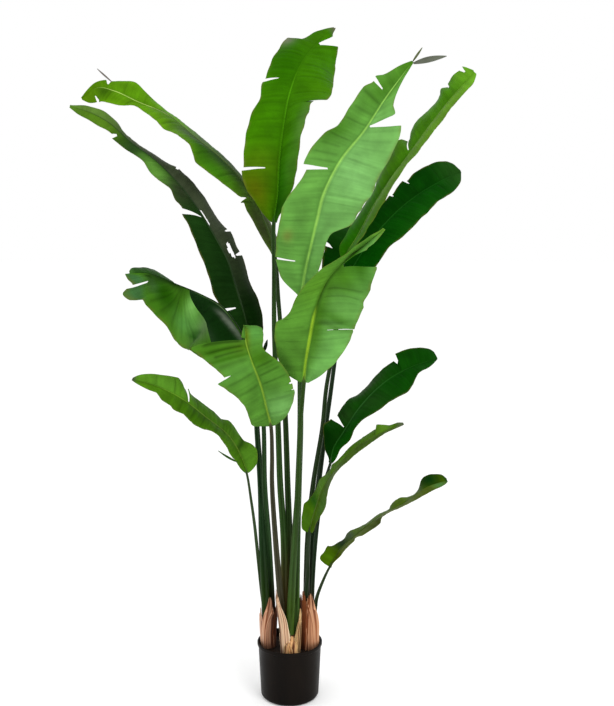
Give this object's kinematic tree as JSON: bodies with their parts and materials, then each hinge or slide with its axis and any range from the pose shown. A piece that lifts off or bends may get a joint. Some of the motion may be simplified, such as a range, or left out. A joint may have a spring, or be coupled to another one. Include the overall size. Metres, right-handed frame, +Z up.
{
  "type": "potted banana plant",
  "caption": "Tall artificial banana plant with broad leaves on long stalks, in a plain round nursery pot.",
  "frame": {"origin": "centre of the pot's flat bottom", "axes": "+Z up; -Y towards the front of the plant, where most blades turn their faces; +X to the right seen from the front"},
  "size_m": [1.1039, 0.6916, 1.8577],
  "materials": {
    "pot_plastic": "satin black moulded plastic",
    "cement": "cast cement, rough",
    "soil": "dark crumbly soil",
    "stub_bark": "rough brown bark",
    "dry_sheath": "dry fibrous leaf sheath, matte",
    "stalk": "dark green, satin",
    "leaf_bright": "bright yellow-green, soft satin",
    "leaf_light": "light green, soft satin",
    "leaf_olive": "olive green, soft satin",
    "leaf_dark": "dark green, soft satin"
  },
  "bodies": {
    "root": {"pot": "pot_plastic", "cement_fill": "cement", "soil": "soil", "stub_left": "stub_bark", "stub_centre": "stub_bark", "stub_right": "stub_bark", "sheath_left_front": "dry_sheath", "sheath_left_side": "dry_sheath", "sheath_left_back": "dry_sheath", "sheath_centre_left": "dry_sheath", "sheath_centre_right": "dry_sheath", "sheath_centre_front": "dry_sheath", "sheath_centre_back": "dry_sheath", "sheath_right_front": "dry_sheath", "sheath_right_side": "dry_sheath", "sheath_right_back": "dry_sheath", "stalk_upper_left": "stalk", "stalk_long_left": "stalk", "stalk_crown": "stalk", "stalk_broad_right": "stalk", "stalk_edge_right": "stalk", "stalk_back_right": "stalk", "stalk_front": "stalk", "stalk_folded_left": "stalk", "stalk_arched": "stalk", "stalk_low_left": "stalk", "stalk_low_right": "stalk", "stalk_narrow_right": "stalk", "stalk_lowest": "stalk", "blade_upper_left": "leaf_bright", "blade_edge_right": "leaf_bright", "blade_crown": "leaf_bright", "blade_broad_right": "leaf_light", "blade_front": "leaf_light", "blade_arched": "leaf_light", "blade_low_left": "leaf_olive", "blade_narrow_right": "leaf_olive", "blade_lowest": "leaf_olive", "blade_long_left": "leaf_dark", "blade_back_right": "leaf_dark", "blade_low_right": "leaf_dark", "blade_folded_left": "leaf_dark"}
  },
  "joints": []
}
